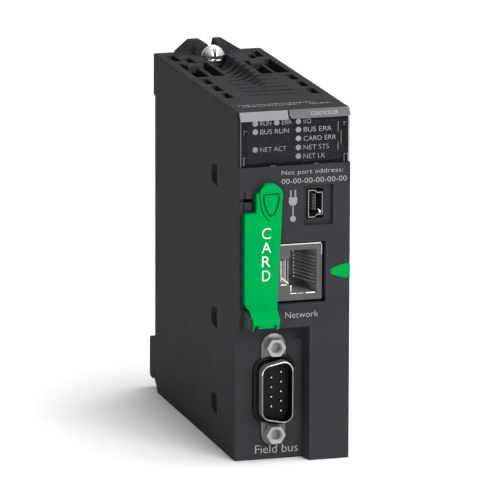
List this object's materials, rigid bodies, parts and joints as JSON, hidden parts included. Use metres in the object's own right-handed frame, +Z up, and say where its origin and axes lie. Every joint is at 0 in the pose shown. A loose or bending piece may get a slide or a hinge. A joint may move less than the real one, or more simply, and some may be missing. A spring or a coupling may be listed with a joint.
{
  "type": "plc module",
  "caption": "Narrow rack-mounted controller module with a status display, hinged card door, service sockets and a captive fixing screw.",
  "frame": {"origin": "on the underside, at the centre of the whole module's width and depth", "axes": "+X to the right seen from the front, the front face looks to -Y, +Z up"},
  "size_m": [0.032, 0.0988, 0.1038],
  "materials": {
    "case_plastic": "fine spark-eroded grain",
    "clear_cover": "polished smoked polycarbonate",
    "black_panel": "satin",
    "label_plastic": "satin",
    "light_dot": "frosted",
    "led_body": "clear resin",
    "board": "solder mask",
    "green_plastic": "satin moulded",
    "card_plastic": "satin",
    "plated_sheet": "nickel plated",
    "tinned_sheet": "tinned",
    "gold_contact": "gold plated",
    "black_moulding": "moulded",
    "component_black": "epoxy moulding",
    "nut_steel": "zinc plated",
    "spacer_brass": "turned",
    "link_plastic": "moulded",
    "heat_sink_metal": "anodised",
    "capacitor_can": "printed sleeve",
    "washer_nylon": "natural nylon",
    "screw_steel": "polished plating"
  },
  "bodies": {
    "case": {"rear_housing": "case_plastic", "front_bezel": "case_plastic", "display_window": "clear_cover", "display_mask": "black_panel", "label_tab": "label_plastic", "light_pipes": "light_dot", "status_leds": "led_body", "display_board": "board", "card_socket": "plated_sheet", "card_contacts": "gold_contact", "usb_shell": "plated_sheet", "usb_tongue": "black_moulding", "usb_contacts": "gold_contact", "ethernet_shield": "tinned_sheet", "ethernet_insert": "black_moulding", "ethernet_contacts": "gold_contact", "ethernet_marker": "green_plastic", "ethernet_transformer": "component_black", "serial_shell": "plated_sheet", "serial_insulator": "black_moulding", "serial_pins": "gold_contact", "jack_nuts": "nut_steel", "cpu_board": "board", "io_board": "board", "rear_board": "board", "board_spacers": "spacer_brass", "board_links": "link_plastic", "processor": "component_black", "heat_sink": "heat_sink_metal", "memory_chips": "component_black", "capacitors": "capacitor_can", "inductor": "component_black", "backplane_connector": "black_moulding", "backplane_contacts": "gold_contact"},
    "door": {"card_door": "green_plastic"},
    "card": {"memory_card": "card_plastic"},
    "washer": {"screw_washer": "washer_nylon"},
    "screw": {"captive_screw": "screw_steel"}
  },
  "joints": [
    {"name": "door_hinge", "type": "hinge", "parent": "case", "child": "door", "pos_m": [-0.0093, -0.04705, 0.0414], "axis": [1, 0, 0], "range_deg": [0, 110]},
    {"name": "card_slide", "type": "slide", "parent": "case", "child": "card", "axis": [0, -1, 0], "range_m": [-0.0008, 0.0015]},
    {"name": "washer_slide", "type": "slide", "parent": "case", "child": "washer", "axis": [0, 1, 0], "range_m": [-0.0042, 0]},
    {"name": "screw_turn", "type": "hinge", "parent": "washer", "child": "screw", "pos_m": [0, 0.0385, 0.0992], "axis": [0, 1, 0], "continuous": true}
  ]
}
